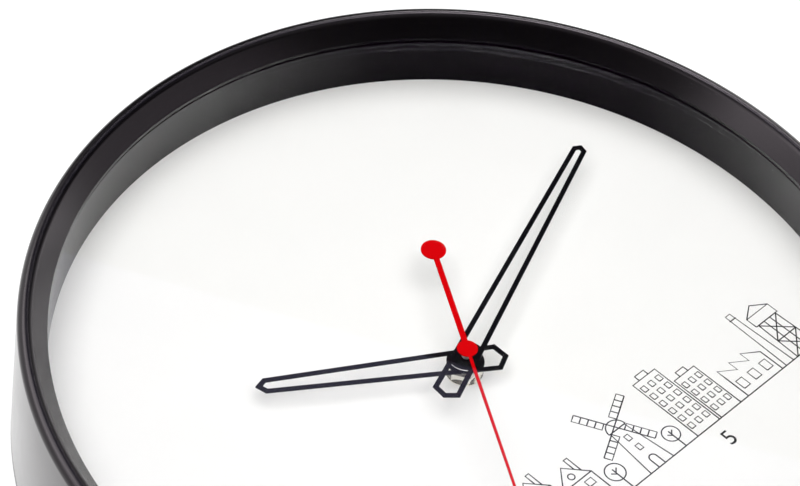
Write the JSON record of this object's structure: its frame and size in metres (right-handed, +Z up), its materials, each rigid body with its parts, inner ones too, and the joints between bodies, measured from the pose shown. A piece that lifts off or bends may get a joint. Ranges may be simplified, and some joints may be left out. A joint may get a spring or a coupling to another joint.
{
  "type": "wall clock",
  "caption": "Round quartz wall clock with a deep black case, white dial, open-frame hour and minute hands, red second hand and geared movement.",
  "frame": {"origin": "centre of the hanging hole, on the wall plane", "axes": "+Z up to twelve o'clock, +X to three o'clock, the dial faces -Y and the wall is on +Y"},
  "size_m": [0.3, 0.0569, 0.3],
  "materials": {
    "case_black": "satin moulded black ABS",
    "clear_glass": "flat clear mineral glass",
    "dial_white": "satin white lacquer on sheet aluminium",
    "back_black": "fine-textured moulded black plastic",
    "zinc_steel": "zinc-plated steel",
    "chrome_nut": "bright chrome plate",
    "movement_black": "moulded black plastic",
    "gear_white": "natural acetal",
    "brass": "turned brass",
    "steel": "turned steel",
    "rubber": "soft black rubber",
    "hand_black": "semi-gloss black paint on sheet aluminium",
    "hand_red": "satin red paint on sheet aluminium",
    "copper_wire": "enamelled copper wire",
    "board_green": "glass-epoxy circuit board",
    "chip_black": "epoxy blob",
    "magnet_grey": "sintered magnet",
    "cell_wrap": "plain blue sleeve on a steel can"
  },
  "bodies": {
    "clock_case": {"case_ring": "case_black", "lens_glass": "clear_glass", "reveal_ring": "case_black", "dial_plate": "dial_white", "back_plate": "back_black", "back_screws": "zinc_steel", "movement_housing": "movement_black", "movement_cover": "movement_black", "train_bridge": "gear_white", "rubber_washer": "rubber", "nut_washer": "chrome_nut", "fixing_nut": "chrome_nut", "stator_plate": "steel", "coil_core": "steel", "coil_bobbin": "gear_white", "coil_winding": "copper_wire", "circuit_board": "board_green", "control_chip": "chip_black", "quartz_crystal": "zinc_steel", "battery_cell": "cell_wrap", "positive_contact": "zinc_steel", "negative_contact": "zinc_steel"},
    "minute_train": {"minute_arbor": "brass", "centre_wheel": "gear_white", "minute_hand": "hand_black"},
    "hour_train": {"hour_wheel": "gear_white", "hour_hand": "hand_black"},
    "second_train": {"second_arbor": "steel", "second_wheel": "gear_white", "second_pipe": "steel", "second_hand": "hand_red"},
    "motion_train": {"motion_wheel": "gear_white", "setting_knob": "gear_white"},
    "third_train": {"third_wheel": "gear_white"},
    "step_train": {"step_wheel": "gear_white"},
    "rotor_train": {"rotor_pinion": "gear_white", "rotor_magnet": "magnet_grey"}
  },
  "joints": [
    {"name": "minute_turn", "type": "hinge", "parent": "clock_case", "child": "minute_train", "pos_m": [0, -0.02, -0.09], "axis": [0, 1, 0], "continuous": true},
    {"name": "hour_turn", "type": "hinge", "parent": "clock_case", "child": "hour_train", "pos_m": [0, -0.02, -0.09], "axis": [0, 1, 0], "continuous": true},
    {"name": "second_turn", "type": "hinge", "parent": "clock_case", "child": "second_train", "pos_m": [0, -0.02, -0.09], "axis": [0, 1, 0], "continuous": true},
    {"name": "knob_turn", "type": "hinge", "parent": "clock_case", "child": "motion_train", "pos_m": [-0.011, -0.02, -0.09], "axis": [0, 1, 0], "continuous": true},
    {"name": "third_turn", "type": "hinge", "parent": "clock_case", "child": "third_train", "pos_m": [0.0046, -0.02, -0.08203], "axis": [0, 1, 0], "continuous": true},
    {"name": "step_turn", "type": "hinge", "parent": "clock_case", "child": "step_train", "pos_m": [0.00886, -0.02, -0.09156], "axis": [0, 1, 0], "continuous": true},
    {"name": "rotor_turn", "type": "hinge", "parent": "clock_case", "child": "rotor_train", "pos_m": [0.01676, -0.02, -0.08869], "axis": [0, 1, 0], "continuous": true}
  ],
  "couplings": [
    {"joint": "hour_turn", "follows": "minute_turn", "ratio": 0.083333},
    {"joint": "second_turn", "follows": "minute_turn", "ratio": 60},
    {"joint": "knob_turn", "follows": "minute_turn", "ratio": -0.33333},
    {"joint": "third_turn", "follows": "minute_turn", "ratio": -8},
    {"joint": "step_turn", "follows": "minute_turn", "ratio": -300},
    {"joint": "rotor_turn", "follows": "minute_turn", "ratio": 1800}
  ]
}
